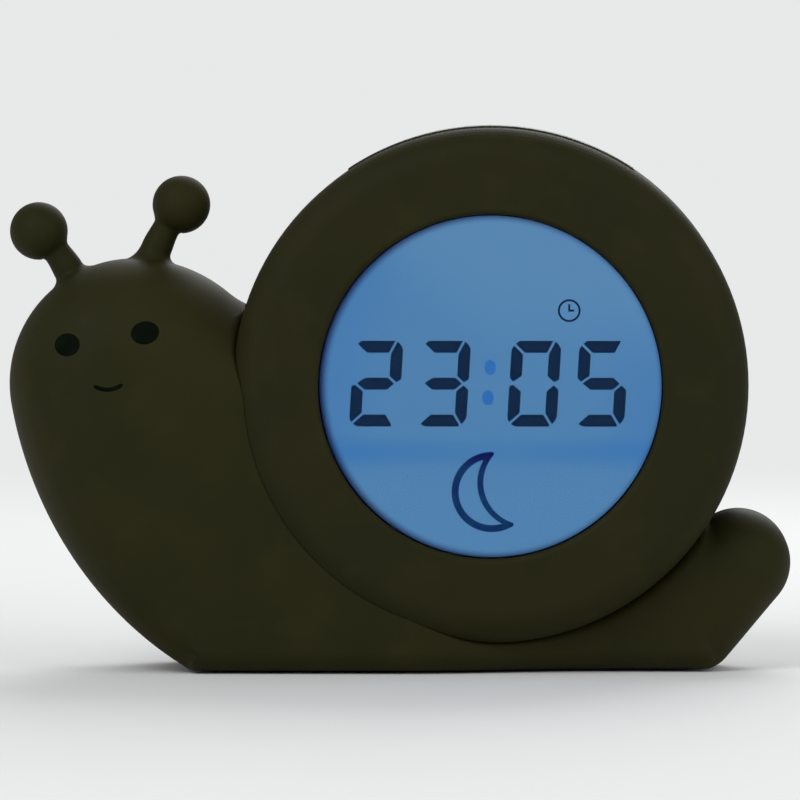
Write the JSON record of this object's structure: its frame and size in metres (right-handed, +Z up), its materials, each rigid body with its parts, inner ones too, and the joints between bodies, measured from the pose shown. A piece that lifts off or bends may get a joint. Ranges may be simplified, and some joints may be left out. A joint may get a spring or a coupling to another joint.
{
  "type": "snail alarm clock",
  "caption": "Snail-shaped kids alarm clock with a round backlit display set in its shell, night light key on top, keys, speaker, power socket and battery bay at the back.",
  "frame": {"origin": "on the surface the clock stands on, below the middle of its outline", "axes": "+X to the right and +Z up as the display is read, +Y from the display to the back"},
  "size_m": [0.17, 0.0508, 0.1184],
  "materials": {
    "body": "soft satin",
    "shell": "soft satin",
    "face": "matte print",
    "pad": "matte",
    "screw": "zinc",
    "window": "clear",
    "gasket": "matte",
    "display": "lit from behind",
    "ink": "dark segment",
    "dot": "pale segment",
    "light_guide": "clear",
    "holder": "satin",
    "board": "solder mask",
    "lamp": "gloss",
    "chip": "satin",
    "diffuser": "satin, lets light through",
    "key": "matte",
    "ribbon": "satin",
    "speaker": "satin",
    "cone": "matte",
    "socket": "satin",
    "cell": "gloss",
    "contact": "polished"
  },
  "bodies": {
    "clock": {"body_front": "body", "body_rear": "body", "feelers": "body", "eyes": "face", "mouth": "face", "base_pad": "pad", "shell_ring": "shell", "rear_cover": "shell", "case_screws": "screw", "display_window": "window", "display_gasket": "gasket", "lcd_glass": "display", "digits": "ink", "colon": "dot", "moon_icon": "ink", "clock_icon": "ink", "light_guide": "light_guide", "display_holder": "holder", "board_screws": "screw", "main_board": "board", "zebra_strip": "gasket", "backlight_leds": "lamp", "board_chips": "chip", "light_board": "board", "night_light_leds": "lamp", "top_switches": "chip", "key_board": "board", "key_switches": "chip", "ribbon": "ribbon", "connectors": "ribbon", "speaker": "speaker", "speaker_cone": "cone", "usb_socket": "socket", "power_board": "board", "batteries": "cell", "battery_contacts": "contact"},
    "top_key_body": {"top_key": "diffuser"},
    "key_light_body": {"key_light": "key"},
    "key_alarm_body": {"key_alarm": "key"},
    "key_time_body": {"key_time": "key"},
    "key_up_body": {"key_up": "key"},
    "key_down_body": {"key_down": "key"},
    "battery_door_body": {"battery_door": "shell", "door_screw": "screw"}
  },
  "joints": [
    {"name": "top_key_press", "type": "slide", "parent": "clock", "child": "top_key_body", "axis": [0, 0, -1], "range_m": [0, 0.0008], "stiffness_N_per_m": 600, "springref_m": -0.0012},
    {"name": "key_light_press", "type": "slide", "parent": "clock", "child": "key_light_body", "axis": [0, -1, 0], "range_m": [0, 0.0005], "stiffness_N_per_m": 500, "springref_m": -0.001},
    {"name": "key_alarm_press", "type": "slide", "parent": "clock", "child": "key_alarm_body", "axis": [0, -1, 0], "range_m": [0, 0.0005], "stiffness_N_per_m": 500, "springref_m": -0.001},
    {"name": "key_time_press", "type": "slide", "parent": "clock", "child": "key_time_body", "axis": [0, -1, 0], "range_m": [0, 0.0005], "stiffness_N_per_m": 500, "springref_m": -0.001},
    {"name": "key_up_press", "type": "slide", "parent": "clock", "child": "key_up_body", "axis": [0, -1, 0], "range_m": [0, 0.0005], "stiffness_N_per_m": 500, "springref_m": -0.001},
    {"name": "key_down_press", "type": "slide", "parent": "clock", "child": "key_down_body", "axis": [0, -1, 0], "range_m": [0, 0.0005], "stiffness_N_per_m": 500, "springref_m": -0.001},
    {"name": "battery_door_off", "type": "slide", "parent": "clock", "child": "battery_door_body", "axis": [0, 1, 0], "range_m": [0, 0.025]}
  ]
}
